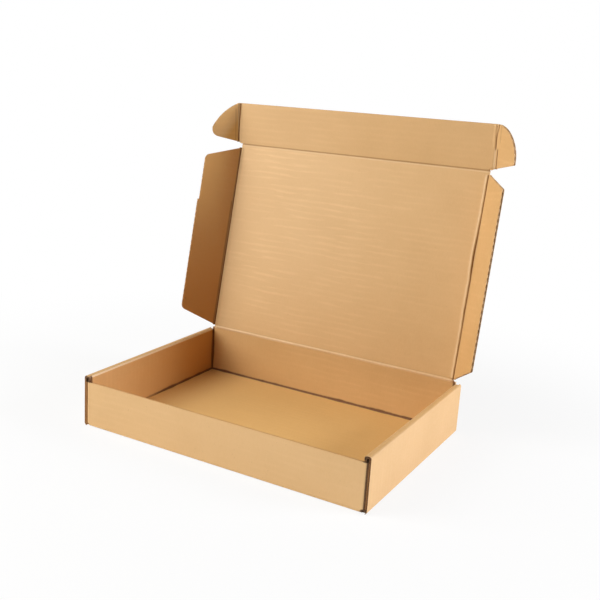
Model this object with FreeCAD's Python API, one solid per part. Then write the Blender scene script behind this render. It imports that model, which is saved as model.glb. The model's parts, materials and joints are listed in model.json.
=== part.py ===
import FreeCAD, Part
import math
import os

# Corrugated mailer box with a hinged lid, open, millimetres, +Z up.
# The origin is the middle of the tray's underside. X runs along the box, -Y is its front.
# The whole box is folded from one die-cut sheet, and the flutes run along X in the flat sheet.

Vector = FreeCAD.Vector
X_AXIS = Vector(1, 0, 0)
Y_AXIS = Vector(0, 1, 0)
Z_AXIS = Vector(0, 0, 1)

# Outer size of the tray
LENGTH = 310.0
DEPTH = 220.0
SIDE_HEIGHT = 52.6
FRONT_HEIGHT = 46.4
HINGE_HEIGHT = 55.1

# The board: two liners with a fluted sheet between them
BOARD = 2.0
LINER = 0.3
MEDIUM = 0.25
FLUTE_PITCH = 6.4

# Folds of the tray: the radius inside a fold, the flat on top of a rolled wall, the gap in it
FOLD_INSIDE = 1.2
ROLL_FLAT = 1.8
LAYER_GAP = 0.15

# Inner side walls lock with tabs in slots of the bottom
TAB_LENGTH = 28.0
TAB_SPACING = 104.0
TAB_RECESS = 0.3
SLOT_CLEARANCE = 0.3

# Corner flaps, folded in between the two layers of each side wall
CORNER_FLAP_LENGTH = 52.0
CORNER_FLAP_LIFT = 1.4

# Depth of the open flute that shows at a cut edge along the flutes
CHANNEL_DEPTH = 1.5

# Creases that move: a pressed bead on one panel and a tapered edge on the other.
# Beside a crease the flutes are crushed flat.
BEAD_RADIUS = 0.5
BEAD_CLEARANCE = 0.3
TAPER_CLEARANCE = 0.4
CRUSHED_WIDTH = 4.0

# Lid. Angles are in degrees, this one back from upright
TUCK_CLEARANCE = 0.4
SIDE_CLEARANCE = 0.25
LID_LEAN_ANGLE = 11.5

# Front flap, and how far it is folded forward from the plane of the lid
FRONT_FLAP_DEPTH = 46.9
FRONT_FLAP_FOLD_ANGLE = 15.3
EAR_INSET = 3.2

# Side flaps of the lid, and how far each is folded in from the plane of the lid
SIDE_FLAP_WIDTH = 45.0
SIDE_FLAP_START = 1.5
SIDE_FLAP_END_GAP = 4.0
SIDE_FLAP_LOW_SLANT = 16.0
SIDE_FLAP_HIGH_SLANT = 15.5
LEFT_FLAP_CORNER = 6.5
RIGHT_FLAP_CORNER = 2.5
LEFT_FLAP_FOLD_ANGLE = 54.0
RIGHT_FLAP_FOLD_ANGLE = 54.0
LEFT_FLAP_STEP = 1.8
LEFT_FLAP_STEP_HEIGHT = 145.0

# Ears of the front flap, and how far each is folded back from its plane
EAR_WIDTH = 32.3
EAR_START = 2.4
EAR_LOW_SLANT = 9.0
EAR_STRAIGHT = 9.0
EAR_TIP_WIDTH = 1.2
LEFT_EAR_FOLD_ANGLE = 48.0
RIGHT_EAR_FOLD_ANGLE = 40.0

# How far out an ear's curve passes on its way from side to top: 0.5 is a straight cut,
# 0.71 a full quarter round
LEFT_EAR_ROUNDNESS = 0.59
RIGHT_EAR_ROUNDNESS = 0.68
LEFT_EAR_CORNER = 8.0
RIGHT_EAR_CORNER = 1.5

# Worked out from the sizes above
HALF_BOARD = BOARD / 2
HALF_CORE = HALF_BOARD - LINER
LAYER_PITCH = BOARD + LAYER_GAP
FOLD_RADIUS = FOLD_INSIDE + HALF_BOARD
FOLD_OUTER = FOLD_RADIUS + HALF_BOARD
ROLL_RADIUS = LAYER_PITCH - ROLL_FLAT / 2
OUTER_WALL_X = LENGTH / 2 - HALF_BOARD
CORNER_FLAP_X = OUTER_WALL_X - LAYER_PITCH
INNER_WALL_X = CORNER_FLAP_X - LAYER_PITCH
FRONT_Y = -DEPTH / 2 + HALF_BOARD
BACK_Y = DEPTH / 2 - HALF_BOARD
WALL_END_X = CORNER_FLAP_X - FOLD_RADIUS
LID_HALF = INNER_WALL_X - BOARD - SIDE_CLEARANCE
EAR_HALF = LENGTH / 2 - EAR_INSET
LID_DEPTH = DEPTH - 2 * BOARD - TUCK_CLEARANCE
BEAD_STANDOFF = BEAD_RADIUS + BEAD_CLEARANCE
REACH = LENGTH + DEPTH


def folded_path(points, radii, axis, shift):
    """Edges of a path with rounded folds, moved sideways by shift."""
    edges = []
    start = points[0] + axis.cross((points[1] - points[0]).normalize()) * shift
    for before, corner, after, radius in zip(points, points[1:], points[2:], radii):
        ahead = (corner - before).normalize()
        onward = (after - corner).normalize()
        turn = ahead.getAngle(onward)
        side = math.copysign(1, axis.dot(ahead.cross(onward)))
        reach = radius * math.tan(turn / 2)
        centre = corner - ahead * reach + axis.cross(ahead) * side * radius
        outward = (corner - centre).normalize()
        arc_in = corner - ahead * reach + axis.cross(ahead) * shift
        arc_middle = centre + outward * (radius - side * shift)
        arc_out = corner + onward * reach + axis.cross(onward) * shift
        edges.append(Part.LineSegment(start, arc_in).toShape())
        edges.append(Part.Arc(arc_in, arc_middle, arc_out).toShape())
        start = arc_out
    last = (points[-1] - points[-2]).normalize()
    edges.append(Part.LineSegment(start, points[-1] + axis.cross(last) * shift).toShape())
    return edges


def folded_board(points, radii, axis, half, run):
    """A board of thickness 2 * half, folded along a path and run out along its folds."""
    left = folded_path(points, radii, axis, half)
    right = folded_path(points, radii, axis, -half)
    first_cap = Part.LineSegment(right[0].Vertexes[0].Point, left[0].Vertexes[0].Point).toShape()
    last_cap = Part.LineSegment(left[-1].Vertexes[-1].Point, right[-1].Vertexes[-1].Point).toShape()
    wire = Part.Wire([first_cap] + left + [last_cap] + right[::-1])
    return Part.Face(wire).extrude(run)


def prism(points, run):
    """A closed outline run out along a vector."""
    return Part.Face(Part.makePolygon(list(points) + [points[0]])).extrude(run)


def block(low, high):
    """A box between two corners."""
    return Part.makeBox(high[0] - low[0], high[1] - low[1], high[2] - low[2], Vector(*low))


def mirrored(shape):
    """The same shape on the other side of the box."""
    return shape.mirror(Vector(0, 0, 0), X_AXIS)


def both_sides(shape):
    """A shape and its mirror image."""
    return [shape, mirrored(shape)]


def side_wall_board():
    """Bottom and double side walls: up outside, over the rolled top and down inside."""
    top = SIDE_HEIGHT - HALF_BOARD
    foot = BOARD + LAYER_GAP
    half_path = [(INNER_WALL_X, foot), (INNER_WALL_X, top), (OUTER_WALL_X, top), (OUTER_WALL_X, HALF_BOARD)]
    left = [Vector(-x, -DEPTH / 2, z) for x, z in half_path]
    right = [Vector(x, -DEPTH / 2, z) for x, z in reversed(half_path)]
    radii = [ROLL_RADIUS, ROLL_RADIUS, FOLD_RADIUS, FOLD_RADIUS, ROLL_RADIUS, ROLL_RADIUS]
    board = folded_board(left + right, radii, Y_AXIS, HALF_BOARD, Vector(0, DEPTH, 0))
    inside = LENGTH / 2 - BOARD
    front_room = block(
        (-inside, -DEPTH / 2 - BOARD, -BOARD),
        (inside, -DEPTH / 2 + FOLD_OUTER, FRONT_HEIGHT + LAYER_GAP),
    )
    back_room = block(
        (-inside, DEPTH / 2 - FOLD_OUTER, -BOARD),
        (inside, DEPTH / 2 + BOARD, SIDE_HEIGHT + BOARD),
    )
    return board.cut([front_room, back_room])


def wall_end_channels():
    """The open flute between the liners, round the front and back ends of the side walls."""
    top = SIDE_HEIGHT - HALF_BOARD
    corner_start = OUTER_WALL_X - FOLD_RADIUS - LINER
    path = [
        (corner_start, HALF_BOARD),
        (OUTER_WALL_X, HALF_BOARD),
        (OUTER_WALL_X, top),
        (INNER_WALL_X, top),
        (INNER_WALL_X, FRONT_HEIGHT),
    ]
    channels = []
    for y in (-DEPTH / 2, DEPTH / 2 - CHANNEL_DEPTH):
        points = [Vector(x, y, z) for x, z in path]
        radii = [FOLD_RADIUS, ROLL_RADIUS, ROLL_RADIUS]
        channel = folded_board(points, radii, Y_AXIS, HALF_CORE, Vector(0, CHANNEL_DEPTH, 0))
        channels += both_sides(channel)
    return channels


def front_and_back_board():
    """Front wall, bottom and back wall, with the pressed bead of the lid's crease on top."""
    points = [
        Vector(-WALL_END_X, FRONT_Y, FRONT_HEIGHT),
        Vector(-WALL_END_X, FRONT_Y, HALF_BOARD),
        Vector(-WALL_END_X, BACK_Y, HALF_BOARD),
        Vector(-WALL_END_X, BACK_Y, HINGE_HEIGHT - HALF_BOARD),
    ]
    radii = [FOLD_RADIUS, FOLD_RADIUS]
    run = Vector(2 * WALL_END_X, 0, 0)
    board = folded_board(points, radii, X_AXIS, HALF_BOARD, run)
    taper = prism(
        [
            Vector(-LID_HALF, BACK_Y - HALF_BOARD, HINGE_HEIGHT - HALF_BOARD),
            Vector(-LID_HALF, BACK_Y + HALF_BOARD, HINGE_HEIGHT - HALF_BOARD),
            Vector(-LID_HALF, BACK_Y, HINGE_HEIGHT),
        ],
        Vector(2 * LID_HALF, 0, 0),
    )
    bead = Part.makeCylinder(BEAD_RADIUS, 2 * LID_HALF, Vector(-LID_HALF, BACK_Y, HINGE_HEIGHT), X_AXIS)
    return board.fuse([taper, bead])


def corner_flap_board(wall_y, inward, top):
    """One end wall with the two corner flaps that fold back from its ends."""
    low = BOARD + CORNER_FLAP_LIFT
    flap_end = wall_y + inward * CORNER_FLAP_LENGTH
    points = [
        Vector(-CORNER_FLAP_X, flap_end, low),
        Vector(-CORNER_FLAP_X, wall_y, low),
        Vector(CORNER_FLAP_X, wall_y, low),
        Vector(CORNER_FLAP_X, flap_end, low),
    ]
    radii = [FOLD_RADIUS, FOLD_RADIUS]
    return folded_board(points, radii, Z_AXIS, HALF_BOARD, Vector(0, 0, top - low))


def tab_and_slot(x, y):
    """One tab of an inner side wall, and the slot of the bottom that it stands in."""
    half_slot_x = HALF_BOARD + SLOT_CLEARANCE
    half_slot_y = TAB_LENGTH / 2 + SLOT_CLEARANCE
    slot = block((x - half_slot_x, y - half_slot_y, -BOARD), (x + half_slot_x, y + half_slot_y, BOARD))
    tab = block(
        (x - HALF_BOARD, y - TAB_LENGTH / 2, TAB_RECESS),
        (x + HALF_BOARD, y + TAB_LENGTH / 2, 2 * BOARD),
    )
    return tab, slot


def tray():
    """Bottom, front wall, back wall, double side walls, corner flaps and tabs in one sheet."""
    back_flap_top = SIDE_HEIGHT - BOARD - CORNER_FLAP_LIFT
    folded = side_wall_board().fuse(
        [
            front_and_back_board(),
            corner_flap_board(FRONT_Y, 1, FRONT_HEIGHT),
            corner_flap_board(BACK_Y, -1, back_flap_top),
        ]
    )
    places = [(x, y) for x in (-INNER_WALL_X, INNER_WALL_X) for y in (-TAB_SPACING / 2, TAB_SPACING / 2)]
    pairs = [tab_and_slot(x, y) for x, y in places]
    front_channel = block(
        (-WALL_END_X, FRONT_Y - HALF_CORE, FRONT_HEIGHT - CHANNEL_DEPTH),
        (WALL_END_X, FRONT_Y + HALF_CORE, FRONT_HEIGHT + BOARD),
    )
    slotted = folded.cut([slot for tab, slot in pairs])
    tabbed = slotted.fuse([tab for tab, slot in pairs])
    return tabbed.cut(wall_end_channels() + [front_channel]).removeSplitter()


def tapered_edge(outline_reach):
    """Profile of a panel across its crease, as distance from the crease and height over its middle."""
    full = TAPER_CLEARANCE + HALF_BOARD
    tip = BEAD_STANDOFF - TAPER_CLEARANCE
    return [
        (BEAD_STANDOFF, -tip),
        (full, -HALF_BOARD),
        (outline_reach, -HALF_BOARD),
        (outline_reach, HALF_BOARD),
        (full, HALF_BOARD),
        (BEAD_STANDOFF, tip),
    ]


def flap_solid(edges):
    """A flap that stands in the XZ plane, its crease on the Z axis, cut from its outline."""
    plate = Part.Face(Part.Wire(edges)).extrude(Vector(0, BOARD, 0))
    plate.translate(Vector(0, -HALF_BOARD, 0))
    profile = [Vector(x, y, -REACH) for x, y in tapered_edge(REACH)]
    return plate.common(prism(profile, Vector(0, 0, 2 * REACH)))


def flute_holes(width, height):
    """Flutes between the liners, running along X, as the spaces each side of a zigzag sheet."""
    half_base = FLUTE_PITCH / 2 - MEDIUM
    tip = HALF_CORE - MEDIUM
    holes = []
    for number in range(math.ceil(2 * height / FLUTE_PITCH) + 1):
        side = 1 if number % 2 else -1
        middle = number * FLUTE_PITCH / 2
        corners = [
            Vector(CRUSHED_WIDTH, side * HALF_CORE, middle - half_base),
            Vector(CRUSHED_WIDTH, side * HALF_CORE, middle + half_base),
            Vector(CRUSHED_WIDTH, -side * tip, middle),
        ]
        holes.append(prism(corners, Vector(width, 0, 0)))
    return holes


def corner_arc(before, corner, after, radius):
    """Start, middle and end of the arc that rounds a corner between its two neighbours."""
    back = (before - corner).normalize()
    onward = (after - corner).normalize()
    half_angle = back.getAngle(onward) / 2
    reach = radius / math.tan(half_angle)
    bisector = (back + onward).normalize()
    middle = corner + bisector * (radius / math.sin(half_angle) - radius)
    return corner + back * reach, middle, corner + onward * reach


def rounded_outline(points, radii):
    """A closed outline in the XZ plane with a radius at each corner, or a sharp one for 0."""
    count = len(points)
    edges = []
    ends = []
    for index, (corner, radius) in enumerate(zip(points, radii)):
        ends.append(corner_arc(points[index - 1], corner, points[(index + 1) % count], radius))
    for index, ((arc_in, middle, arc_out), radius) in enumerate(zip(ends, radii)):
        if radius > 0:
            edges.append(Part.Arc(arc_in, middle, arc_out).toShape())
        edges.append(Part.LineSegment(arc_out, ends[(index + 1) % count][0]).toShape())
    return edges


def side_flap(corner_radius, step):
    """A side flap of the lid, flat, with its crease on the Z axis."""
    low = SIDE_FLAP_START
    high = LID_DEPTH - SIDE_FLAP_END_GAP
    outer_low = low + SIDE_FLAP_LOW_SLANT
    outer_high = high - SIDE_FLAP_HIGH_SLANT
    points = [Vector(0, 0, low), Vector(SIDE_FLAP_WIDTH, 0, outer_low)]
    radii = [0, corner_radius]
    if step > 0:
        points.append(Vector(SIDE_FLAP_WIDTH, 0, LEFT_FLAP_STEP_HEIGHT))
        points.append(Vector(SIDE_FLAP_WIDTH - step, 0, LEFT_FLAP_STEP_HEIGHT))
        radii += [0, 0]
    points.append(Vector(SIDE_FLAP_WIDTH - step, 0, outer_high))
    points.append(Vector(0, 0, high))
    radii += [corner_radius, 0]
    plate = flap_solid(rounded_outline(points, radii))
    return plate.cut(flute_holes(SIDE_FLAP_WIDTH, LID_DEPTH)).removeSplitter()


def ear(roundness, corner_radius):
    """A rounded ear of the front flap, flat, with its crease on the Z axis."""
    outer_low = EAR_START + EAR_LOW_SLANT
    outer_high = outer_low + EAR_STRAIGHT
    round_width = EAR_WIDTH - EAR_TIP_WIDTH
    round_height = FRONT_FLAP_DEPTH - outer_high
    arc_start = Vector(EAR_WIDTH, 0, outer_high)
    arc_middle = Vector(EAR_TIP_WIDTH + round_width * roundness, 0, outer_high + round_height * roundness)
    arc_end = Vector(EAR_TIP_WIDTH, 0, FRONT_FLAP_DEPTH)
    low_root = Vector(0, 0, EAR_START)
    high_root = Vector(0, 0, FRONT_FLAP_DEPTH)
    low_corner = Vector(EAR_WIDTH, 0, outer_low)
    slant_end, bend, side_start = corner_arc(low_root, low_corner, arc_start, corner_radius)
    edges = [
        Part.LineSegment(low_root, slant_end).toShape(),
        Part.Arc(slant_end, bend, side_start).toShape(),
        Part.LineSegment(side_start, arc_start).toShape(),
        Part.Arc(arc_start, arc_middle, arc_end).toShape(),
        Part.LineSegment(arc_end, high_root).toShape(),
        Part.LineSegment(high_root, low_root).toShape(),
    ]
    return flap_solid(edges).cut(flute_holes(EAR_WIDTH, FRONT_FLAP_DEPTH)).removeSplitter()


def double_taper(half_width):
    """Prism along Z whose two X edges taper to the creases of the panels beside it."""
    profile = [
        Vector(-half_width, 0, -REACH),
        Vector(-half_width + HALF_BOARD, -HALF_BOARD, -REACH),
        Vector(half_width - HALF_BOARD, -HALF_BOARD, -REACH),
        Vector(half_width, 0, -REACH),
        Vector(half_width - HALF_BOARD, HALF_BOARD, -REACH),
        Vector(-half_width + HALF_BOARD, HALF_BOARD, -REACH),
    ]
    return prism(profile, Vector(0, 0, 2 * REACH))


def cross_taper(far_edge):
    """Prism along X that tapers a panel at its own crease, and at a far edge that carries a bead."""
    near = tapered_edge(far_edge - HALF_BOARD)
    ordered = near[:3] + [(far_edge, 0)] + near[3:]
    profile = [Vector(-REACH, y, z) for z, y in ordered]
    return prism(profile, Vector(2 * REACH, 0, 0))


def lid_panel():
    """The lid, upright, with its crease on the X axis and a bead along each crease it carries."""
    low = SIDE_FLAP_START
    high = LID_DEPTH - SIDE_FLAP_END_GAP
    panel = double_taper(LID_HALF).common(cross_taper(LID_DEPTH))
    front_half = LID_HALF - BEAD_RADIUS
    front_bead = Part.makeCylinder(BEAD_RADIUS, 2 * front_half, Vector(-front_half, 0, LID_DEPTH), X_AXIS)
    side_bead = Part.makeCylinder(BEAD_RADIUS, high - low, Vector(LID_HALF, 0, low), Z_AXIS)
    return panel.fuse([front_bead] + both_sides(side_bead)).removeSplitter()


def front_flap():
    """The front flap, upright, with its crease on the X axis and an open flute along its free edge."""
    outline = [
        Vector(-LID_HALF + BEAD_RADIUS, -HALF_BOARD, 0),
        Vector(LID_HALF - BEAD_RADIUS, -HALF_BOARD, 0),
        Vector(EAR_HALF, -HALF_BOARD, EAR_START),
        Vector(EAR_HALF, -HALF_BOARD, FRONT_FLAP_DEPTH),
        Vector(-EAR_HALF, -HALF_BOARD, FRONT_FLAP_DEPTH),
        Vector(-EAR_HALF, -HALF_BOARD, EAR_START),
    ]
    plate = prism(outline, Vector(0, BOARD, 0)).common(double_taper(EAR_HALF))
    profile = [Vector(-REACH, y, z) for z, y in tapered_edge(REACH)]
    panel = plate.common(prism(profile, Vector(2 * REACH, 0, 0)))
    bead_length = FRONT_FLAP_DEPTH - EAR_START
    bead = Part.makeCylinder(BEAD_RADIUS, bead_length, Vector(EAR_HALF, 0, EAR_START), Z_AXIS)
    channel = block(
        (-EAR_HALF + BOARD, -HALF_CORE, FRONT_FLAP_DEPTH - CHANNEL_DEPTH),
        (EAR_HALF - BOARD, HALF_CORE, FRONT_FLAP_DEPTH + BOARD),
    )
    return panel.fuse(both_sides(bead)).cut(channel).removeSplitter()


def placement(position, axis, degrees):
    """A move to a crease, turned about it."""
    return FreeCAD.Placement(position, FreeCAD.Rotation(axis, degrees))


def put(shape, place):
    """A shape moved to its place in the box."""
    return shape.transformed(place.toMatrix())


LID_PLACE = placement(Vector(0, BACK_Y, HINGE_HEIGHT), X_AXIS, -LID_LEAN_ANGLE)
FRONT_PLACE = LID_PLACE * placement(Vector(0, 0, LID_DEPTH), X_AXIS, FRONT_FLAP_FOLD_ANGLE)
RIGHT_FLAP_PLACE = LID_PLACE * placement(Vector(LID_HALF, 0, 0), Z_AXIS, -RIGHT_FLAP_FOLD_ANGLE)
LEFT_FLAP_PLACE = LID_PLACE * placement(Vector(-LID_HALF, 0, 0), Z_AXIS, LEFT_FLAP_FOLD_ANGLE)
RIGHT_EAR_PLACE = FRONT_PLACE * placement(Vector(EAR_HALF, 0, 0), Z_AXIS, -RIGHT_EAR_FOLD_ANGLE)
LEFT_EAR_PLACE = FRONT_PLACE * placement(Vector(-EAR_HALF, 0, 0), Z_AXIS, LEFT_EAR_FOLD_ANGLE)

NODES = {
    "tray": tray(),
    "lid_panel": put(lid_panel(), LID_PLACE),
    "front_flap": put(front_flap(), FRONT_PLACE),
    "right_side_flap": put(side_flap(RIGHT_FLAP_CORNER, 0), RIGHT_FLAP_PLACE),
    "left_side_flap": put(mirrored(side_flap(LEFT_FLAP_CORNER, LEFT_FLAP_STEP)), LEFT_FLAP_PLACE),
    "right_ear": put(ear(RIGHT_EAR_ROUNDNESS, RIGHT_EAR_CORNER), RIGHT_EAR_PLACE),
    "left_ear": put(mirrored(ear(LEFT_EAR_ROUNDNESS, LEFT_EAR_CORNER)), LEFT_EAR_PLACE),
}

os.makedirs("parts", exist_ok=True)
for name, shape in NODES.items():
    shape.exportStep("parts/" + name + ".step")
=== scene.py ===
import json
import math

import bpy
from mathutils import Matrix, Vector, noise

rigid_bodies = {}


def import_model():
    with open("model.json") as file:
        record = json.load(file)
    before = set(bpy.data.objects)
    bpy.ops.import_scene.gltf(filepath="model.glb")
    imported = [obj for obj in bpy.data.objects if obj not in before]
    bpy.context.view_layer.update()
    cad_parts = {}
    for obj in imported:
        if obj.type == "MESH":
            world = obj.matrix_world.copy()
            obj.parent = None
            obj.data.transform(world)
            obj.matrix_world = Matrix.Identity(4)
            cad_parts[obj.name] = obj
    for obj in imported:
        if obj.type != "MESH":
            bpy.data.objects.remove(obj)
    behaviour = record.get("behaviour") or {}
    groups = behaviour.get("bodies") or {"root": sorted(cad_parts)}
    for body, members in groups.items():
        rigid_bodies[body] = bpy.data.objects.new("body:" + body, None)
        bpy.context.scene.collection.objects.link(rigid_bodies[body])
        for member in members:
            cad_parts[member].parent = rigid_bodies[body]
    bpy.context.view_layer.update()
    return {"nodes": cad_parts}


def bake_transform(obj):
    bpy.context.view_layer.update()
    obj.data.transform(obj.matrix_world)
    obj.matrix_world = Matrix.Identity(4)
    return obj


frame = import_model()

# Sizes of the box, in millimetres. Shapes are worked out in these and scaled on the way out.
MM = 0.001
LENGTH = 310.0
DEPTH = 220.0
SIDE_HEIGHT = 52.6
FRONT_HEIGHT = 46.4
HINGE_HEIGHT = 55.1
BOARD = 2.0
LAYER_GAP = 0.15
FLUTE_PITCH = 6.4
SIDE_CLEARANCE = 0.25
TUCK_CLEARANCE = 0.4
FRONT_FLAP_DEPTH = 46.9
EAR_INSET = 3.2
EAR_START = 2.4
SIDE_FLAP_START = 1.5
SIDE_FLAP_END_GAP = 4.0
LID_LEAN = math.radians(11.5)
FRONT_FLAP_FOLD = math.radians(15.3)
SIDE_FLAP_FOLD = math.radians(54.0)
LEFT_EAR_FOLD = math.radians(48.0)
RIGHT_EAR_FOLD = math.radians(40.0)

# Worked out from the sizes above
HALF_LENGTH = LENGTH / 2
HALF_DEPTH = DEPTH / 2
HALF_BOARD = BOARD / 2
BACK_Y = HALF_DEPTH - HALF_BOARD
END_FACE_Y = HALF_DEPTH - BOARD
INNER_WALL_X = HALF_LENGTH - HALF_BOARD - 2 * (BOARD + LAYER_GAP)
INNER_FACE_X = INNER_WALL_X - HALF_BOARD
LID_HALF = INNER_WALL_X - BOARD - SIDE_CLEARANCE
LID_DEPTH = DEPTH - 2 * BOARD - TUCK_CLEARANCE
SIDE_FLAP_TOP = LID_DEPTH - SIDE_FLAP_END_GAP
EAR_HALF = HALF_LENGTH - EAR_INSET

# Directions of the lid and of its front flap in the pose of the frame
X_AXIS = Vector((1, 0, 0))
Y_AXIS = Vector((0, 1, 0))
Z_AXIS = Vector((0, 0, 1))
FLAP_LEAN = LID_LEAN - FRONT_FLAP_FOLD
LID_UP = Vector((0, math.sin(LID_LEAN), math.cos(LID_LEAN)))
LID_IN = Vector((0, -math.cos(LID_LEAN), math.sin(LID_LEAN)))
FLAP_UP = Vector((0, math.sin(FLAP_LEAN), math.cos(FLAP_LEAN)))
FLAP_IN = Vector((0, -math.cos(FLAP_LEAN), math.sin(FLAP_LEAN)))
HINGE = Vector((0, BACK_Y, HINGE_HEIGHT))
FRONT_CREASE = HINGE + LID_UP * LID_DEPTH


class Fold:
    """A flap at one side of a panel: where it is creased, and its directions, folded in by an angle."""

    def __init__(self, body, foot, half, up, panel_in, side, angle, span):
        self.body = body
        self.origin = foot + X_AXIS * side * half
        self.up = up
        self.panel_in = panel_in
        self.side = side
        self.span = span
        self.outward = X_AXIS * side * math.cos(angle) + panel_in * math.sin(angle)
        self.inward = panel_in * math.cos(angle) - X_AXIS * side * math.sin(angle)


BAND_INSET = 0.2
SIDE_SPAN = (SIDE_FLAP_START + BAND_INSET, SIDE_FLAP_TOP - BAND_INSET)
EAR_SPAN = (EAR_START + BAND_INSET, FRONT_FLAP_DEPTH - BAND_INSET)
LID_SIDES = (HINGE, LID_HALF, LID_UP, LID_IN)
FRONT_FLAP_SIDES = (FRONT_CREASE, EAR_HALF, FLAP_UP, FLAP_IN)
RIGHT, LEFT = 1, -1
FOLDS = {
    "right_side_flap": Fold("lid", *LID_SIDES, RIGHT, SIDE_FLAP_FOLD, SIDE_SPAN),
    "left_side_flap": Fold("lid", *LID_SIDES, LEFT, SIDE_FLAP_FOLD, SIDE_SPAN),
    "right_ear": Fold("front_flap", *FRONT_FLAP_SIDES, RIGHT, RIGHT_EAR_FOLD, EAR_SPAN),
    "left_ear": Fold("front_flap", *FRONT_FLAP_SIDES, LEFT, LEFT_EAR_FOLD, EAR_SPAN),
}


# Kraft board

DARK_KRAFT = (0.565, 0.325, 0.122, 1.0)
LIGHT_KRAFT = (0.720, 0.445, 0.198, 1.0)
# Painted sheen on the lid and the front flap, strongest where their washboard is
SHEEN_KRAFT = (0.760, 0.515, 0.285, 1.0)
# Painted shade on the left side flap and on the tray's left inner wall
SHADED_KRAFT = (0.560, 0.255, 0.062, 1.0)
OUTER_KRAFT = (0.765, 0.490, 0.236, 1.0)
FLOOR_KRAFT = (0.765, 0.472, 0.170, 1.0)
# Painted light on the left of the tray's floor
LIT_TRAY_FLOOR = (0.920, 0.600, 0.245, 1.0)
# Painted highlight along the inner edge of the rolled tops
ROLLED_EDGE_HIGHLIGHT = (0.850, 0.620, 0.380, 1.0)
LIT_RIDGE = (0.820, 0.590, 0.350, 1.0)
SPECK = (0.330, 0.175, 0.070, 1.0)
# Cut edges of the panels: the flutes' paper, and painted shade in their hollows
EDGE_LIGHT = (0.800, 0.560, 0.320, 1.0)
EDGE_DARK = (0.330, 0.190, 0.090, 1.0)
# Open ends of the walls: cut board, partly painted shade in the flutes' hollows; also painted shade along the
# left wall's rim
CUT_END_AND_SHADE = (0.225, 0.108, 0.046, 1.0)
# Painted shade in the slot, the hollow and the oval at the walls' open ends
SLOT_SHADE = (0.060, 0.024, 0.008, 1.0)
# Painted shade in the creases and in the tray's inside corners
CREASE_SHADE = (0.130, 0.042, 0.005, 1.0)
SPECULAR = 0.5

# Turn of the flutes' wave in radians per metre, and the heights of the liner's relief
FLUTE_TURN = 2 * math.pi / (FLUTE_PITCH * MM)
RIDGE_RELIEF = 0.095 * MM
FIBRE_RELIEF = 0.030 * MM
GRAIN_RELIEF = 0.012 * MM
BUCKLE_RELIEF = 0.22 * MM


class Graph:
    """Nodes of one material or world, with short calls for the kinds used here."""

    def __init__(self, data):
        self.data = data
        data.use_nodes = True
        self.nodes = data.node_tree.nodes
        self.links = data.node_tree.links
        self.nodes.clear()

    def add(self, kind, **settings):
        node = self.nodes.new(kind)
        for key, value in settings.items():
            setattr(node, key, value)
        return node

    def put(self, socket, value):
        if isinstance(value, bpy.types.NodeSocket):
            self.links.new(value, socket)
        else:
            socket.default_value = value

    def math(self, operation, *values, clamp=False):
        node = self.add("ShaderNodeMath", operation=operation, use_clamp=clamp)
        for socket, value in zip(node.inputs, values):
            self.put(socket, value)
        return node.outputs[0]

    def product(self, first, *others):
        """Product of the values, which for tests is 1 where all of them hold."""
        for other in others:
            first = self.math("MULTIPLY", first, other)
        return first

    def largest(self, first, *others):
        """Largest of the values, which for tests is 1 where any of them holds."""
        for other in others:
            first = self.math("MAXIMUM", first, other)
        return first

    def above(self, value, limit):
        return self.math("GREATER_THAN", value, limit)

    def below(self, value, limit):
        return self.math("LESS_THAN", value, limit)

    def distance(self, first, second):
        squares = self.math("ADD", self.product(first, first), self.product(second, second))
        return self.math("SQRT", squares)

    def vector(self, operation, first, second):
        node = self.add("ShaderNodeVectorMath", operation=operation)
        self.put(node.inputs[0], first)
        self.put(node.inputs[1], second)
        return node.outputs["Value" if operation == "DOT_PRODUCT" else "Vector"]

    def dot(self, first, second):
        return self.vector("DOT_PRODUCT", first, second)

    def combine(self, x, y, z):
        node = self.add("ShaderNodeCombineXYZ")
        for socket, value in zip(node.inputs, (x, y, z)):
            self.put(socket, value)
        return node.outputs[0]

    def noise(self, vector, scale, detail=2.0, roughness=0.5):
        node = self.add("ShaderNodeTexNoise")
        self.put(node.inputs["Vector"], vector)
        node.inputs["Scale"].default_value = scale
        node.inputs["Detail"].default_value = detail
        node.inputs["Roughness"].default_value = roughness
        return node.outputs["Fac"]

    def ramp(self, value, low, high, to_low=0.0, to_high=1.0):
        """A smooth step from one value at low to another at high."""
        node = self.add("ShaderNodeMapRange", interpolation_type="SMOOTHSTEP")
        settings = {"Value": value, "From Min": low, "From Max": high, "To Min": to_low, "To Max": to_high}
        for key, number in settings.items():
            self.put(node.inputs[key], number)
        return node.outputs["Result"]

    def mix(self, factor, first, second):
        node = self.add("ShaderNodeMix", data_type="RGBA")
        self.put(node.inputs["Factor"], factor)
        self.put(node.inputs["A"], first)
        self.put(node.inputs["B"], second)
        return node.outputs["Result"]

    def attribute(self, name):
        return self.add("ShaderNodeAttribute", attribute_name=name).outputs["Fac"]


class TrayPlace:
    """Where a point of the tray lies, in millimetres, which way it faces, and how the flutes run there."""

    def __init__(self, g, position, normal):
        x, y, z = (g.dot(position, axis) for axis in (X_AXIS, Y_AXIS, Z_AXIS))
        self.sideways = g.math("MULTIPLY", x, 1 / MM)
        self.depth = g.math("MULTIPLY", y, 1 / MM)
        self.height = g.math("MULTIPLY", z, 1 / MM)
        self.from_middle = g.math("ABSOLUTE", self.sideways)
        self.from_centre = g.math("ABSOLUTE", self.depth)
        self.facing_y = g.math("ABSOLUTE", g.dot(normal, Y_AXIS))
        facing_x = g.math("ABSOLUTE", g.dot(normal, X_AXIS))

        # The flutes run along X, but upright in the side walls, and they follow one another along Y or Z
        is_end_wall = g.above(self.facing_y, 0.6)
        is_side_wall = g.above(facing_x, 0.6)
        self.across = g.math("MULTIPLY_ADD", g.math("SUBTRACT", z, y), is_end_wall, y)
        self.along = g.math("MULTIPLY_ADD", g.math("SUBTRACT", z, x), is_side_wall, x)


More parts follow.
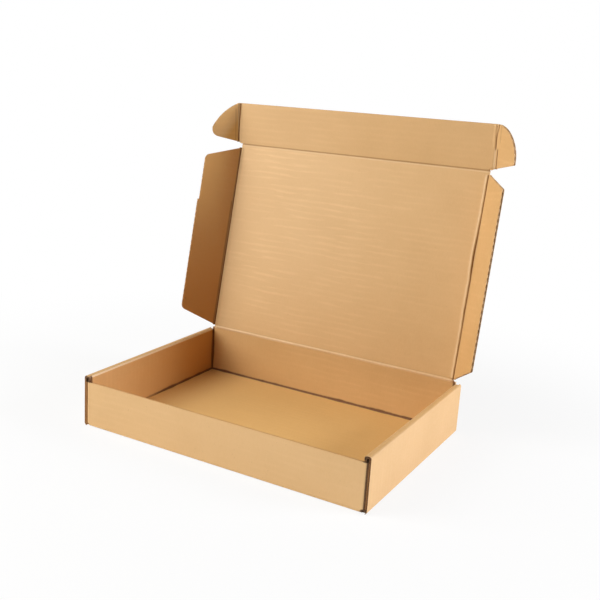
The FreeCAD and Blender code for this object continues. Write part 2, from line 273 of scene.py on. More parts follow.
def tray_corner_shade(g, position, place):
    """Painted shade: dark lines where the walls meet the bottom and one another inside the tray."""
    from_side = g.math("SUBTRACT", INNER_FACE_X, place.from_middle)
    from_end = g.math("SUBTRACT", END_FACE_Y, place.from_centre)
    from_floor = g.math("SUBTRACT", place.height, BOARD)
    inside = g.product(g.above(from_side, -0.4), g.above(from_end, -0.4), g.above(from_floor, -0.3))
    ragged = g.ramp(g.noise(position, 60.0, 2.0), 0.3, 0.7, 0.75, 1.15)

    def line(first, second, near, far, strength):
        return g.ramp(g.product(g.distance(first, second), ragged), near, far, strength, 0.0)

    foot = line(from_end, from_floor, 1.2, 2.6, 0.95)
    side_foot = line(from_side, from_floor, 0.8, 2.6, 0.95)
    side_foot = g.product(side_foot, g.ramp(place.depth, -30.0, 15.0, 0.25, 1.0))
    upright = line(from_side, from_end, 1.0, 2.9, 0.90)
    return g.product(g.largest(foot, side_foot, upright), inside)


# Open ends of the side walls, in millimetres in from the tray's outer side faces: the strips beside the left
# and right walls, coloured as cut board and partly as painted shade in the flutes' hollows, the slot in the
# right one, painted in shade, the rolled tops, which reach a little farther in at the front, and the hollow
# in them, also painted in shade. The right wall's end has a dark oval of painted shade at its foot: its
# middle and half axes.
LEFT_STRIP = 2.1
RIGHT_STRIP = 4.0
SLOT_START, SLOT_STOP = 1.7, 5.0
ROLL_START, ROLL_STOP = 1.5, 6.0
FRONT_ROLL_EXTRA = 1.0
HOLLOW_START = 1.8
OVAL_X, OVAL_Z = HALF_LENGTH - 3.0, 1.2
OVAL_WIDE, OVAL_HIGH = 4.5, 3.6


def tray_ends(g, place):
    """Where the tray shows the open ends of its side walls, partly in painted shade, and where these lie deep
    in painted shade.
    """
    at_front = g.below(place.depth, 0.0)
    faces_end = g.above(place.facing_y, 0.3)
    past_corner = g.largest(
        g.below(place.sideways, LEFT_STRIP - HALF_LENGTH), g.above(place.sideways, HALF_LENGTH - RIGHT_STRIP),
    )
    # Open ends: cut board, partly painted shade in the flutes' hollows
    wall_end = g.product(g.above(place.from_centre, END_FACE_Y + 0.2), past_corner, faces_end)
    # Painted shade in the slot of the right wall's end
    slot = g.product(
        wall_end,
        g.above(place.sideways, HALF_LENGTH - SLOT_STOP), g.below(place.sideways, HALF_LENGTH - SLOT_START),
    )

    roll_stop = g.math("MULTIPLY_ADD", at_front, -FRONT_ROLL_EXTRA, HALF_LENGTH - ROLL_STOP)
    roll_end = g.product(
        g.above(place.from_centre, END_FACE_Y - 2.0), g.largest(at_front, faces_end),
        g.above(place.from_middle, roll_stop), g.below(place.from_middle, HALF_LENGTH - ROLL_START),
        g.above(place.height, FRONT_HEIGHT - 0.3), g.below(place.height, SIDE_HEIGHT - 0.3),
    )
    # Painted shade in the hollow of the rolled tops' ends
    hollow = g.product(
        roll_end,
        g.below(place.from_middle, HALF_LENGTH - HOLLOW_START), g.below(place.height, SIDE_HEIGHT - BOARD),
    )

    # Painted shade in an oval at the foot of the right wall's end
    across_oval = g.math("MULTIPLY", g.math("SUBTRACT", place.sideways, OVAL_X), 1 / OVAL_WIDE)
    up_oval = g.math("MULTIPLY", g.math("SUBTRACT", place.height, OVAL_Z), 1 / OVAL_HIGH)
    oval = g.ramp(g.distance(across_oval, up_oval), 0.75, 1.05, 1.0, 0.0)
    beside_wall = g.above(place.sideways, HALF_LENGTH - 6.0)
    oval_start = g.math("MULTIPLY_ADD", beside_wall, -3.0, END_FACE_Y - 1.0)
    low_corner = g.product(
        oval, g.above(place.from_centre, oval_start), g.below(place.sideways, HALF_LENGTH - 0.4),
    )
    return g.largest(wall_end, roll_end, low_corner), g.largest(slot, hollow, low_corner)


def tray_liner(g, place, liner, light):
    """Colours the liner by its place in the tray, as the photo's light and bounced light do."""
    # Painted shade on the left inner wall below its rolled top, darker towards the back
    inner_left_shade = g.product(
        g.ramp(place.sideways, 0.7 - INNER_FACE_X, 1.7 - INNER_FACE_X, 1.0, 0.0),
        g.ramp(place.height, SIDE_HEIGHT - 3.1, SIDE_HEIGHT - 1.1, 1.0, 0.0),
        g.ramp(place.depth, -100.0, 100.0, 0.27, 0.97),
    )
    liner = g.mix(inner_left_shade, liner, SHADED_KRAFT)
    outside = g.largest(
        g.ramp(place.from_centre, HALF_DEPTH - 1.2, HALF_DEPTH - 0.6),
        g.ramp(place.from_middle, HALF_LENGTH - 0.8, HALF_LENGTH - 0.2),
    )
    liner = g.mix(g.product(outside, g.math("MULTIPLY_ADD", light, 0.5, 0.45)), liner, OUTER_KRAFT)
    bottom = g.product(g.below(place.height, BOARD + 0.3), g.above(place.height, BOARD - 0.5))
    liner = g.mix(g.product(bottom, g.math("MULTIPLY_ADD", light, 0.5, 0.55)), liner, FLOOR_KRAFT)
    # Painted light on the left of the tray's floor, which thins the left wall's shadow there
    liner = g.mix(g.product(bottom, g.ramp(place.sideways, -145.0, -40.0, 0.55, 0.0)), liner, LIT_TRAY_FLOOR)
    # Painted highlight along the inner edge of the rolled tops
    from_edge = g.math("ABSOLUTE", g.math("SUBTRACT", place.from_middle, INNER_FACE_X + 0.4))
    rolled_edge_highlight = g.product(g.ramp(from_edge, 0.3, 0.9, 1.0, 0.0), g.above(place.height, SIDE_HEIGHT - 2.1))
    liner = g.mix(rolled_edge_highlight, liner, ROLLED_EDGE_HIGHLIGHT)
    # Painted shade along the outer edge of the left wall's rolled top, stronger at the front
    left_rim_shade = g.product(
        g.ramp(place.sideways, 1.6 - HALF_LENGTH, 2.4 - HALF_LENGTH, 1.0, 0.0),
        g.above(place.height, SIDE_HEIGHT - 3.6),
        g.ramp(place.depth, -60.0, 10.0, 0.55, 0.08),
    )
    return g.mix(left_rim_shade, liner, CUT_END_AND_SHADE)


def flap_liner(g, position, liner, fold, shade):
    """Paints shade on a flap towards its crease and its foot, painted light towards its free edge and its
    top, and lines of painted shade along its crease.
    """
    from_crease = g.vector("SUBTRACT", position, fold.origin * MM)
    beyond = g.math("MULTIPLY", g.dot(from_crease, fold.outward), 1 / MM)
    place = g.math("MULTIPLY", g.dot(from_crease, fold.up), 1 / MM)
    slanted = g.math("MULTIPLY_ADD", place, shade["tilt"], beyond)
    # Painted shade towards the crease and the foot
    deep = g.largest(g.ramp(slanted, *shade["near"]), g.ramp(place, *shade["foot"]))
    liner = g.mix(deep, liner, shade["deep"])
    # Painted light towards the free edge and the top
    pale = g.product(g.ramp(slanted, *shade["far"]), g.ramp(place, *shade["top"]))
    liner = g.mix(pale, liner, shade["pale"])
    # Lines of painted shade along the crease
    for distance, width, strength, low, high in shade["lines"]:
        off = g.math("ABSOLUTE", g.math("SUBTRACT", beyond, distance))
        mark = g.product(
            g.ramp(off, 0.2 * width, width, strength, 0.0),
            g.ramp(place, low, low + 3), g.ramp(place, high - 3, high, 1.0, 0.0),
        )
        liner = g.mix(mark, liner, CREASE_SHADE)
    return liner


def flutes(g, shifted, along, across, seed, strength):
    """Flutes that show through the liner, wavering and broken, from 0 between them to the strength on top."""
    wander = g.math("MULTIPLY", g.noise(shifted, 18.0, 1.0), 4.2 * MM)
    phase = g.math("MULTIPLY", g.math("ADD", across, wander), FLUTE_TURN)
    crest = g.math("POWER", g.math("MULTIPLY_ADD", g.math("SINE", phase), 0.5, 0.5), 1.6)
    streaky = g.combine(g.math("MULTIPLY", along, 26.0), g.math("MULTIPLY", across, 210.0), seed)
    broken = g.ramp(g.noise(streaky, 1.0, 2.0), 0.40, 0.62)
    patchy = g.ramp(g.noise(shifted, 9.0, 1.0), 0.36, 0.60, 0.35, 1.0)
    return g.product(crest, broken, patchy, strength)


def object_normal(g):
    """Direction that the face looks in, in the frame of the piece itself."""
    turned = g.add(
        "ShaderNodeVectorTransform", vector_type="NORMAL", convert_from="WORLD", convert_to="OBJECT",
    )
    g.put(turned.inputs[0], g.add("ShaderNodeNewGeometry").outputs["True Normal"])
    return turned.outputs[0]


def relief(g, shifted, ridges, fibres, grain):
    """Normal of the liner with its flutes, fibres and grain, and a slow buckling of the whole board."""
    height = g.math("MULTIPLY", ridges, RIDGE_RELIEF)
    height = g.math("MULTIPLY_ADD", fibres, FIBRE_RELIEF, height)
    height = g.math("MULTIPLY_ADD", grain, GRAIN_RELIEF, height)
    height = g.math("MULTIPLY_ADD", g.noise(shifted, 33.0, 2.0), BUCKLE_RELIEF, height)
    bump = g.add("ShaderNodeBump")
    g.put(bump.inputs["Strength"], 1.0)
    g.put(bump.inputs["Distance"], 1.0)
    g.put(bump.inputs["Height"], height)
    return bump.outputs[0]


def kraft(
    name, seed, washboard, kind="panel", up=None, inward=None,
    fade=None, tone=0.0, shade_warmth=0.0, fold=None, shade=None,
):
    """Corrugated kraft liner: mottled, fibrous, with the flutes showing through as a soft washboard.

    A panel shows its cut edges, with painted shade in their hollows, told from its faces by their direction.
    A band, which bends with its crease, has none, and its lines of painted crease shade and lit ridges come
    from its mesh. The tray finds its ends and corners, and the painted shade in them, by their place.
    """
    g = Graph(bpy.data.materials.new(name))
    position = g.add("ShaderNodeTexCoord").outputs["Object"]
    shifted = g.vector("ADD", position, (seed, seed * 1.7, -seed))
    if kind == "tray":
        place = TrayPlace(g, position, object_normal(g))
        along, across = place.along, place.across
    else:
        along, across = g.dot(position, X_AXIS), g.dot(position, up)
    fading = g.product(g.ramp(along, *fade[0]), g.ramp(across, *fade[1])) if fade else 1.0
    ridges = flutes(g, shifted, along, across, seed, g.math("MULTIPLY", fading, washboard))

    # Paper: broad mottling, fibres laid across the flutes, fine grain, and a painted highlight on the flutes'
    # crests
    fibre_place = g.combine(g.math("MULTIPLY", along, 900.0), g.math("MULTIPLY", across, 260.0), seed * 2)
    fibres = g.noise(fibre_place, 1.0, 4.0, 0.62)
    grain = g.noise(shifted, 1600.0, 2.0, 0.6)
    light = g.math("MULTIPLY_ADD", g.noise(shifted, 21.0, 3.0, 0.55), 0.62, tone - 0.28)
    light = g.math("MULTIPLY_ADD", g.noise(shifted, 5.0, 1.0), 0.40, light)
    light = g.math("MULTIPLY_ADD", fibres, 0.34, light)
    # Painted highlight: the liner is lighter on the flutes' crests
    light = g.math("MULTIPLY_ADD", ridges, 0.40, light, clamp=True)
    liner = g.mix(light, DARK_KRAFT, LIGHT_KRAFT)

    # What the light makes of the liner in its place
    if kind == "tray":
        liner = tray_liner(g, place, liner, light)
    if shade_warmth:
        # Painted shade over a flap, deeper towards its foot
        liner = g.mix(g.ramp(across, 0.08, 0.24, shade_warmth * 1.25, shade_warmth * 0.75), liner, SHADED_KRAFT)
    if shade:
        liner = flap_liner(g, position, liner, fold, shade)
    if fade:
        # Painted sheen towards the lid's upper left and the front flap's left
        liner = g.mix(g.product(fading, 0.33), liner, SHEEN_KRAFT)
    if kind == "panel":
        facing = g.dot(object_normal(g), inward)
        outside = g.product(g.below(facing, -0.35), g.math("MULTIPLY_ADD", light, 0.5, 0.45))
        liner = g.mix(outside, liner, OUTER_KRAFT)
    if kind == "band":
        liner = g.mix(g.attribute("lit"), liner, LIT_RIDGE)
    specks = g.ramp(g.noise(shifted, 620.0, 2.0, 0.5), 0.70, 0.80, 0.0, 0.35)
    colour = g.mix(specks, liner, SPECK)

    # Cut edges with painted shade in their hollows, lines of painted shade in the creases, and painted shade
    # in the tray's corners
    gloss = SPECULAR
    worn = g.ramp(grain, 0.25, 0.75, 0.72, 1.0)
    if kind == "tray":
        # The walls' open ends, partly painted shade, and painted shade in the slot, the hollow and the oval
        open_end, deep = tray_ends(g, place)
        edge = g.mix(g.product(deep, 0.9), CUT_END_AND_SHADE, SLOT_SHADE)
        colour = g.mix(g.product(open_end, worn), colour, edge)
        # Painted shade where the walls meet the bottom and one another
        colour = g.mix(tray_corner_shade(g, position, place), colour, CREASE_SHADE)
    elif kind == "panel":
        # Cut edges: light on the flutes' paper, painted shade in their hollows
        cells = g.math("SINE", g.math("MULTIPLY", across, FLUTE_TURN))
        edge = g.mix(g.ramp(cells, -0.3, 0.5), EDGE_DARK, EDGE_LIGHT)
        open_end = g.below(g.math("ABSOLUTE", facing), 0.35)
        colour = g.mix(g.product(open_end, worn), colour, edge)
    else:
        # Painted shade along the crease lines, with no gloss there
        crease_shade = g.attribute("crease_shade")
        colour = g.mix(crease_shade, colour, CREASE_SHADE)
        gloss = g.math("MULTIPLY_ADD", crease_shade, -SPECULAR, SPECULAR)

    shader = g.add("ShaderNodeBsdfPrincipled")
    g.put(shader.inputs["Specular IOR Level"], gloss)
    g.put(shader.inputs["Base Color"], colour)
    g.put(shader.inputs["Roughness"], g.ramp(fibres, 0.2, 0.8, 0.68, 0.54))
    g.put(shader.inputs["Normal"], relief(g, shifted, ridges, fibres, grain))
    g.put(g.add("ShaderNodeOutputMaterial").inputs["Surface"], shader.outputs[0])
    return g.data


# Each fade is one ramp along X and one up the panel, in metres: the washboard and a painted sheen fade from
# the lid's upper left to its lower right, as the raking light does
LID_FADE = ((-0.08, 0.12, 1.0, 0.25), (0.06, 0.20, 0.45, 1.0))
FLAP_FADE = ((-0.10, 0.05, 0.8, 0.25), (0.0, 0.30, 1.0, 1.0))
LID_LOOK = {"seed": 0.12, "washboard": 1.45, "up": LID_UP, "fade": LID_FADE}
FLAP_LOOK = {"seed": 0.57, "washboard": 0.8, "up": FLAP_UP, "fade": FLAP_FADE}
BOARDS = {
    "tray": kraft("kraft_tray", 0.31, 0.45, kind="tray"),
    "lid_panel": kraft("kraft_lid", inward=LID_IN, **LID_LOOK),
    "front_flap": kraft("kraft_front_flap", inward=FLAP_IN, **FLAP_LOOK),
}
LID_BAND = kraft("kraft_lid_creases", kind="band", **LID_LOOK)
FLAP_BAND = kraft("kraft_flap_creases", kind="band", **FLAP_LOOK)

# Painted shade and painted light of the flaps, in millimetres out from the crease (near and far, which tilt
# slants)
# and up along it (foot and top): deep is the colour of the painted shade, pale that of the painted light.
# Lines of painted crease shade give their distance from the crease, half width, strength, and two ends along
# it.
NO_SHADE = (0.0, 1.0, 0.0, 0.0)
# Painted shade on the left side flap
SHADE_WARMTH = {"left_side_flap": 0.75}
# Whole flaps made lighter or darker: painted light on the left ear, painted shade on the right flap and ear
LIGHT_AND_SHADE_TONE = {"left_ear": 0.20, "right_side_flap": -0.08, "right_ear": -0.06}
SHADES = {
    "left_side_flap": {
        "tilt": 0.0,
        "deep": (0.440, 0.160, 0.024, 1.0), "near": (0.0, 28.0, 0.45, 0.10), "foot": (20.0, 190.0, 0.54, 0.0),
        "pale": (0.870, 0.500, 0.175, 1.0), "far": (4.0, 44.0), "top": (95.0, 205.0, 0.05, 0.80),
        "lines": [(1.1, 2.0, 0.85, -2.0, 215.0), (2.4, 2.4, 0.55, -3.0, 150.0)],
    },
    "left_ear": {
        "tilt": 0.7,
        "deep": (0.550, 0.260, 0.035, 1.0), "near": (17.8, 29.8, 0.70, 0.0), "foot": NO_SHADE,
        "pale": (0.880, 0.535, 0.205, 1.0), "far": (22.0, 38.0), "top": (8.0, 30.0, 0.20, 0.66),
        "lines": [(1.0, 1.9, 0.95, -2.0, 24.0), (4.8, 0.9, 0.30, 2.0, 42.0)],
    },
    "right_side_flap": {
        "tilt": 0.0,
        "deep": (0.550, 0.300, 0.100, 1.0), "near": NO_SHADE, "foot": (10.0, 120.0, 0.38, 0.0),
        "pale": LIGHT_KRAFT, "far": NO_SHADE, "top": NO_SHADE, "lines": [],
    },
    "right_ear": {
        "tilt": 0.0,
        "deep": DARK_KRAFT, "near": NO_SHADE, "foot": NO_SHADE,
        "pale": LIGHT_KRAFT, "far": NO_SHADE, "top": NO_SHADE,
        "lines": [(2.7, 1.4, 0.92, -1.0, 24.0), (5.8, 1.2, 0.28, 28.0, 48.0)],
    },
}
for index, (node, fold) in enumerate(FOLDS.items()):
    BOARDS[node] = kraft(
        "kraft_" + node, 0.71 + 0.13 * index, 0.5, up=fold.up, inward=fold.inward,
        tone=LIGHT_AND_SHADE_TONE.get(node, 0.0), shade_warmth=SHADE_WARMTH.get(node, 0.0), fold=fold, shade=SHADES[node],
    )

for node, piece in frame["nodes"].items():
    piece.data.materials.clear()
    piece.data.materials.append(BOARDS[node])


# Creases: crushed board that bends between two panels, as a closed band round each crease.
# A lift gives the height of a liner over the plain board, in millimetres, from the offset across the crease
# (below 0 on the parent's panel) and the place along it.

# How far the bands reach over their panels, the rows of points there and in the bend between, how much the
# rows crowd towards the crease, the spacing of the rings, and how far off the crease each body holds them
BAND_REACH = 2.8
FRONT_REACH = 2.6
PANEL_STEPS = 14
BENDS = 6
CROWDING = 1.3
RING_SPACING = 1.5

# On the inside of a bend the panels' rows start this far from the corner of the two faces
BEND_START = 0.35

# How far a band stands out of the liner, and the drop of its edge into the board over a last width
STAND_OUT = 0.035
EDGE_DROP = 0.16
EDGE_WIDTH = 0.9


def wobble(place, row, scale):
    """Smooth noise between -1 and 1 along a crease. Each row is a wave of its own."""
    return noise.noise(Vector((place * scale, row * 7.3, row * 1.9)))


def hump(offset, centre, width):
    """Bell shape around a centre."""
    return math.exp(-((offset - centre) / width) ** 2)


class Crease:
    """One crease: where it runs, the panels it joins, and how its liners are pressed and wrinkled.

    Parent and child are each a panel's direction away from the crease and its inner normal. Shade lines,
    which are painted shade in the crease, and ridges, which are painted highlights, are marks on the inner
    liner: the line they follow, their width, and their strength along the crease.
    """

    def __init__(
        self, name, bodies, origin, run, low, high, parent, child, board, inner, outer, reach, shade_lines, ridges,
    ):
        self.name = name
        self.bodies = bodies
        self.origin = origin
        self.run = run
        self.low = low
        self.high = high
        self.parent = parent
        self.child = child
        self.board = board
        self.inner = inner
        self.outer = outer
        self.reach = reach
        self.shade_lines = shade_lines
        self.ridges = ridges

    def amount(self, marks, offset, place):
        """How strongly the marks show here, from 0 to 1."""
        shown = [strength(place) * hump(offset, line(place), width) for line, width, strength in marks]
        return max([0.0] + shown)

    def face(self, place, sign):
        """Points over one face, from the parent's side to the child's, and the marks at each."""
        parent_out, parent_normal = self.parent
        child_out, child_normal = self.child
        lift = self.inner if sign > 0 else self.outer
        turn = sign * math.atan2(child_out.dot(parent_normal), -child_out.dot(parent_out))
        start = HALF_BOARD * math.tan(turn / 2) + BEND_START if turn > 0 else 0.0

        def on_panel(out, normal, distance, offset):
            return out * distance + normal * (sign * (HALF_BOARD + lift(offset, place)))

        shares = [(k / PANEL_STEPS) ** CROWDING for k in range(PANEL_STEPS + 1)]
        parent_offsets = [start + (self.reach[0] - start) * share for share in reversed(shares)]
        child_offsets = [start + (self.reach[1] - start) * share for share in shares]
        first = [on_panel(parent_out, parent_normal, d, -d) for d in parent_offsets]
        last = [on_panel(child_out, child_normal, d, d) for d in child_offsets]
        middle = []
        if turn > 0:
            inside = (parent_normal + child_normal).normalized() * (HALF_BOARD / math.cos(turn / 2))
            control = inside * sign * (1 + lift(0.0, place))
            for k in range(1, BENDS):
                t = k / BENDS
                middle.append(first[-1] * (1 - t) ** 2 + control * (2 * t * (1 - t)) + last[0] * t ** 2)
        else:
            bent = parent_normal.dot(child_normal) < 0.99999
            for k in range(1, BENDS):
                normal = parent_normal.slerp(child_normal, k / BENDS) if bent else parent_normal
                middle.append(normal.normalized() * (sign * (HALF_BOARD + lift(0.0, place))))
        offsets = [-d for d in parent_offsets] + [0.0] * (BENDS - 1) + child_offsets
        if sign < 0:
            marks = [(0.0, 0.0)] * len(offsets)
        else:
            shade_lines = [self.amount(self.shade_lines, d, place) for d in offsets]
            ridges = [self.amount(self.ridges, d, place) for d in offsets]
            marks = list(zip(shade_lines, ridges))
        return first + middle + last, marks

    def mesh(self):
        """The closed band: rings of points along the crease, faces between them, and the two ends."""
        count = max(8, round((self.high - self.low) / RING_SPACING))
        verts, faces, marks = [], [], []
        for number in range(count + 1):
            place = self.low + (self.high - self.low) * number / count
            inner, inner_marks = self.face(place, 1)
            outer, outer_marks = self.face(place, -1)
            ring = inner + outer[::-1]
            marks += inner_marks + outer_marks
            size = len(ring)
            verts += [(self.origin + self.run * place + point) * MM for point in ring]
            if number:
                before, here = (number - 1) * size, number * size
                for k in range(size):
                    onward = (k + 1) % size
                    faces.append((before + k, before + onward, here + onward, here + k))
        for start, is_last in ((0, False), (count * size, True)):
            for k in range(size // 2 - 1):
                quad = (start + k, start + k + 1, start + size - 2 - k, start + size - 1 - k)
                faces.append(quad if is_last else quad[::-1])
        mesh = bpy.data.meshes.new(self.name)
        mesh.from_pydata(verts, [], faces)
        mesh.update()
        # Per point: painted crease shade, and the painted highlight on the ridges
        for kind, values in zip(("crease_shade", "lit"), zip(*marks)):
            mesh.attributes.new(kind, "FLOAT", "POINT").data.foreach_set("value", values)
        for polygon in mesh.polygons:
            polygon.use_smooth = True
        mesh.materials.append(self.board)
        return mesh

    def build(self):
        """Makes the band and puts it in the scene."""
        piece = bpy.data.objects.new(self.name, self.mesh())
        bpy.context.scene.collection.objects.link(piece)
        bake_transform(piece)


def buried(offset, reach):
    """Takes the band's edge down into the board, so that it swells out of the liner with no step."""
    near_edge = max(0.0, 1 - (reach - abs(offset)) / EDGE_WIDTH)
    return STAND_OUT - EDGE_DROP * near_edge ** 2


def pressed(reach, groove, width, row):
    """A pressed line on the crease."""
    def lift(offset, place):
        depth = groove * (1 + 0.35 * wobble(place, row, 0.06))
        return buried(offset, reach) - depth * hump(offset, 0.12 * wobble(place, row + 5, 0.05), width)
    return lift


def sunk(lift, depth):
    """The same liner, lower by a depth, where it must not stand out of the board."""
    return lambda offset, place: lift(offset, place) - depth


def raised(reach, bead, width, row):
    """A rounded bead along the crease."""
    def lift(offset, place):
        centre = 0.25 * wobble(place, row, 0.04)
        height = bead * (1 + 0.3 * wobble(place, row + 3, 0.08))
        return buried(offset, reach) + height * hump(offset, centre, width)
    return lift


def wrinkled(reach, line, height, row):
    """A liner that has buckled on the parent's side: it swells up and drops at a line that wanders."""
    def lift(offset, place):
        past = offset - line(place)
        tall = height * (1 + 0.35 * wobble(place, row + 2, 0.05))
        swell = tall * hump(past, -1.5, 1.5 if past < -1.5 else 0.8)
        second = 0.20 * max(0.0, wobble(place, row + 9, 0.03) + 0.3) * hump(offset, 1.6, 0.5)
        return buried(offset, reach if offset < 0 else BAND_REACH) + swell + second
    return lift


def fade_in(place, start, end):
    """Rises from 0 to 1 between two places along a crease."""
    t = min(1.0, max(0.0, (place - start) / (end - start)))
    return t * t * (3 - 2 * t)


def straight(offset):
    """A line that keeps its offset from the crease."""
    return lambda place: offset


def hinge_line(place):
    return -0.4 + 0.3 * wobble(place, 6, 0.04)


def front_line(place):
    return 0.3 + 0.12 * wobble(place, 8, 0.05)


def right_line(place):
    """The right crease's wrinkle lies inside the lid, farthest a little above its middle."""
    away = 1.4 * hump(place, 129.0, 24.0) + 0.6 * hump(place, 76.0, 17.0)
    return -0.45 - away + 0.35 * wobble(place, 31, 0.10)


def right_ridge(place):
    return right_line(place) - 2.5


def left_line(place):
    return -0.5 - 0.6 * hump(place, 120.0, 60.0) - 0.15 * wobble(place, 29, 0.06)


def left_shade_line(place):
    """The left crease's line of painted shade lies on the flap, nearest to the lid at its middle."""
    return 1.1 - 0.5 * hump(place, 130.0, 30.0) + 0.15 * wobble(place, 29, 0.06)


def right_ear_line(place):
    return -1.1 if place > 23.0 else 0.35


def right_ear_shade_line(place):
    """The right ear's upper line of painted shade starts on the flap and bends onto the ear."""
    return -0.8 + 3.2 * fade_in(place, 34.0, 48.0)


def left_ear_line(place):
    return -0.3 - 0.9 * hump(place, 34.0, 5.0) + 0.2 * wobble(place, 39, 0.09)


def left_ear_shade_line(place):
    """The left ear's line of painted shade runs at a slant, from the ear at its foot to the flap at its top.
    """
    return 1.0 - 2.9 * fade_in(place, 10.0, 48.0) + 0.12 * wobble(place, 39, 0.09)


def uneven(strength, row, scale=0.05, swing=0.15):
    """Strength of a mark that varies a little along the crease."""
    return lambda place: min(1.0, max(0.0, strength * (1 + swing * wobble(place, row, scale))))


def between(strength, low, high, soft=5.0):
    """Strength of a mark that shows only along part of a crease."""
    return lambda place: strength * fade_in(place, low, low + soft) * fade_in(-place, -high, soft - high)


def side_crease(flap, band, line, swell, reach, row, shade_lines, ridges=()):
    """The crease between a flap and its panel, wrinkled on the panel's side up to a reach."""
    fold = FOLDS[flap]
    groove = pressed(BAND_REACH, 0.22, 0.5, row + 20)

    def outer(offset, place):
        """Beyond the usual reach the band's outer face stays down in the board."""
        return groove(offset, place) if offset > -BAND_REACH else STAND_OUT - EDGE_DROP

    Crease(
        flap + "_crease", (fold.body, flap), fold.origin, fold.up, *fold.span,
        (-X_AXIS * fold.side, fold.panel_in), (fold.outward, fold.inward), band,
        wrinkled(reach, line, swell, row), outer, (reach, BAND_REACH), shade_lines, ridges,
    ).build()


HINGE_BAND_HALF = LID_HALF - 1.3
FRONT_BAND_HALF = LID_HALF - 0.6
Crease(
    "hinge_crease", ("tray", "lid"), HINGE, X_AXIS, -HINGE_BAND_HALF, HINGE_BAND_HALF,
    (-Z_AXIS, -Y_AXIS), (LID_UP, LID_IN), LID_BAND,
    inner=raised(BAND_REACH, 0.50, 0.95, 1), outer=pressed(BAND_REACH, 0.25, 0.55, 2),
    reach=(BAND_REACH, BAND_REACH),
    shade_lines=[(straight(-2.6), 0.45, uneven(0.30, 51)), (straight(2.3), 0.5, uneven(0.30, 52))],
    ridges=[(hinge_line, 1.3, uneven(0.75, 58, 0.04, 0.5))],
).build()
Crease(
    "front_flap_crease", ("lid", "front_flap"), FRONT_CREASE, X_AXIS, -FRONT_BAND_HALF, FRONT_BAND_HALF,
    (-LID_UP, LID_IN), (FLAP_UP, FLAP_IN), FLAP_BAND,
    inner=pressed(FRONT_REACH, 0.5, 0.45, 3), outer=sunk(pressed(FRONT_REACH, 0.2, 0.5, 4), 0.08),
    reach=(FRONT_REACH, FRONT_REACH),
    shade_lines=[(front_line, 0.95, uneven(0.40, 53))],
    ridges=[(straight(-1.6), 0.8, uneven(0.35, 59, 0.03, 0.6))],
).build()
side_crease(
    "right_side_flap", LID_BAND, right_line, swell=0.50, reach=7.0, row=31,
    shade_lines=[(right_line, 1.15, uneven(0.92, 54)), (straight(1.7), 0.4, between(0.5, 20.0, 165.0, 12.0))],
    ridges=[(right_ridge, 1.2, uneven(0.42, 60, 0.06, 0.6))],
)
side_crease(
    "left_side_flap", LID_BAND, left_line, swell=0.30, reach=5.0, row=29,
    shade_lines=[
        (left_shade_line, 1.5, uneven(0.95, 55, 0.05, 0.06)),
        (straight(2.3), 1.5, uneven(0.60, 56)),
        (straight(-1.8), 1.9, uneven(0.16, 61)),
    ],
)
side_crease(
    "right_ear", FLAP_BAND, right_ear_line, swell=0.38, reach=5.5, row=41,
    shade_lines=[
        (right_ear_shade_line, 0.85, between(0.88, 20.0, 52.0, 3.0)),
        (straight(2.7), 0.9, between(0.95, -6.0, 24.0, 3.0)),
        (straight(-2.6), 0.5, between(0.25, 0.0, 26.0)),
    ],
    ridges=[(straight(-0.7), 0.9, between(0.85, -6.0, 24.0, 3.0))],
)
side_crease(
    "left_ear", FLAP_BAND, left_ear_line, swell=0.25, reach=4.5, row=39,
    shade_lines=[
        (left_ear_shade_line, 1.3, uneven(1.0, 57, 0.05, 0.06)),
        (straight(2.3), 0.9, uneven(0.25, 62)),
    ],
)


# Floor, light and camera, in metres

WHITE = (1.0, 1.0, 1.0, 1.0)
FLOOR_PAPER = (0.93, 0.93, 0.93, 1.0)
FLOOR_HALF = 14.0
FLOOR_DROP = 0.0003
SURROUND_FILL = 0.03
LAMP_AIM = Vector((0.0, 0.03, 0.10))
WARM_LIGHT, COOL_LIGHT = (0.995, 0.990, 0.955), (0.985, 1.0, 1.055)

# Direction, distance, size, level and colour of each lamp
LAMPS = {
    "key": ((-0.80, -0.60, 0.50), 1.9, 1.1, 0.685, WARM_LIGHT),
    "high": ((-0.55, -0.60, 0.90), 1.9, 1.1, 0.35, WARM_LIGHT),
    "right_back": ((0.92, 0.30, 0.30), 1.7, 0.7, 0.92, COOL_LIGHT),
    "front": ((-0.30, -0.95, 0.35), 1.9, 1.1, 0.13, WARM_LIGHT),
}


def seen_directly(g):
    """1 where the camera or a reflection sees the surface itself, 0 for the light that it sends out."""
    rays = g.add("ShaderNodeLightPath").outputs
    return g.largest(rays["Is Camera Ray"], rays["Is Glossy Ray"])


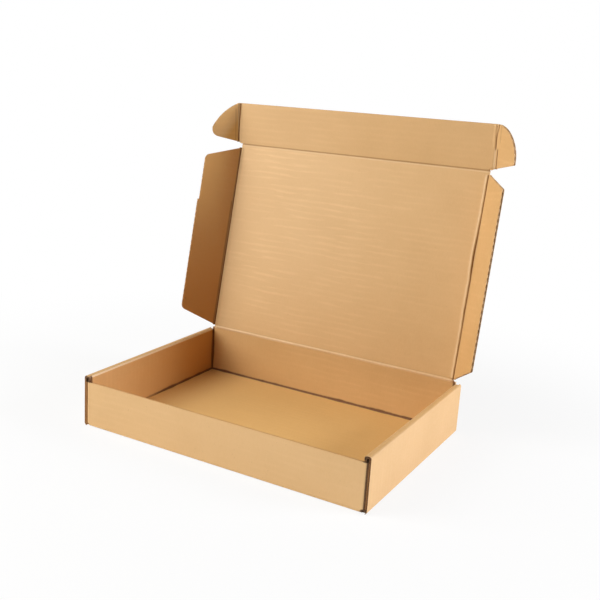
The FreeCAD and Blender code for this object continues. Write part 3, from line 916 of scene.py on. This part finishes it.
def stage_floor():
    """A pale floor that is plain white to the camera away from the box and keeps its soft shadow."""
    mesh = bpy.data.meshes.new("floor")
    corners = [(x * FLOOR_HALF, y * FLOOR_HALF, 0) for x, y in ((-1, -1), (1, -1), (1, 1), (-1, 1))]
    mesh.from_pydata(corners, [], [(0, 1, 2, 3)])
    floor = bpy.data.objects.new("floor", mesh)
    floor.location.z = -FLOOR_DROP
    bpy.context.scene.collection.objects.link(floor)
    g = Graph(bpy.data.materials.new("floor"))
    length = g.add("ShaderNodeVectorMath", operation="LENGTH")
    g.put(length.inputs[0], g.add("ShaderNodeTexCoord").outputs["Object"])
    far = g.ramp(length.outputs["Value"], 0.22, 0.60, 0.86, 1.0)
    paper = g.add("ShaderNodeBsdfDiffuse")
    g.put(paper.inputs["Color"], FLOOR_PAPER)
    white = g.add("ShaderNodeEmission")
    g.put(white.inputs["Color"], WHITE)
    blend = g.add("ShaderNodeMixShader")
    g.put(blend.inputs[0], g.product(far, seen_directly(g)))
    g.put(blend.inputs[1], paper.outputs[0])
    g.put(blend.inputs[2], white.outputs[0])
    g.put(g.add("ShaderNodeOutputMaterial").inputs["Surface"], blend.outputs[0])
    mesh.materials.append(g.data)


def stage_world():
    """A white surround for the camera, and an even fill for everything else."""
    g = Graph(bpy.data.worlds.new("studio"))
    background = g.add("ShaderNodeBackground")
    g.put(background.inputs["Color"], WHITE)
    g.put(background.inputs["Strength"], g.ramp(seen_directly(g), 0.0, 1.0, SURROUND_FILL, 1.0))
    g.put(g.add("ShaderNodeOutputWorld").inputs["Surface"], background.outputs[0])
    bpy.context.scene.world = g.data


def stage_lamp(name, direction, distance, size, level, colour):
    """A soft square lamp aimed at the box. Level 1 lights a surface that faces it as a white card is lit."""
    towards = Vector(direction).normalized()
    data = bpy.data.lights.new(name, "AREA")
    data.shape = "SQUARE"
    data.size = size
    data.energy = level * (math.pi * distance) ** 2
    data.color = colour
    lamp = bpy.data.objects.new(name, data)
    lamp.location = LAMP_AIM + towards * distance
    lamp.rotation_mode = "QUATERNION"
    lamp.rotation_quaternion = towards.to_track_quat("Z", "Y")
    bpy.context.scene.collection.objects.link(lamp)


# The camera comes from a fit of the box's edges in the photograph
PICTURE_PIXELS = 600
FOCAL_PIXELS = 912.38
CENTRE_PIXELS = (252.79, 290.50)
SENSOR_WIDTH = 36.0
AZIMUTH, ELEVATION, ROLL = math.radians(30.891), math.radians(14.376), math.radians(2.941)
CAMERA_AIM = Vector((-0.10502, 0.0, 0.45061)) * LENGTH * MM
CAMERA_DISTANCE = 2.93910 * LENGTH * MM
NEAREST, FARTHEST = 0.01, 60.0


def stage_camera():
    """A camera with the photograph's place, direction, roll, focal length and optical centre."""
    back = Vector((
        math.sin(AZIMUTH) * math.cos(ELEVATION),
        -math.cos(AZIMUTH) * math.cos(ELEVATION),
        math.sin(ELEVATION),
    ))
    level_right = Z_AXIS.cross(back).normalized()
    level_up = back.cross(level_right)
    right = level_right * math.cos(ROLL) + level_up * math.sin(ROLL)
    upward = level_up * math.cos(ROLL) - level_right * math.sin(ROLL)
    lens = bpy.data.cameras.new("camera")
    lens.sensor_fit = "HORIZONTAL"
    lens.sensor_width = SENSOR_WIDTH
    lens.lens = FOCAL_PIXELS * SENSOR_WIDTH / PICTURE_PIXELS
    lens.shift_x = (PICTURE_PIXELS / 2 - CENTRE_PIXELS[0]) / PICTURE_PIXELS
    lens.shift_y = (CENTRE_PIXELS[1] - PICTURE_PIXELS / 2) / PICTURE_PIXELS
    lens.clip_start = NEAREST
    lens.clip_end = FARTHEST
    camera = bpy.data.objects.new("camera", lens)
    turned = Matrix((right, upward, back)).transposed().to_4x4()
    camera.matrix_world = Matrix.Translation(CAMERA_AIM + back * CAMERA_DISTANCE) @ turned
    bpy.context.scene.collection.objects.link(camera)
    bpy.context.scene.camera = camera


stage_floor()
stage_world()
for name, lamp in LAMPS.items():
    stage_lamp(name, *lamp)
stage_camera()
bpy.context.scene.view_settings.view_transform = "Standard"
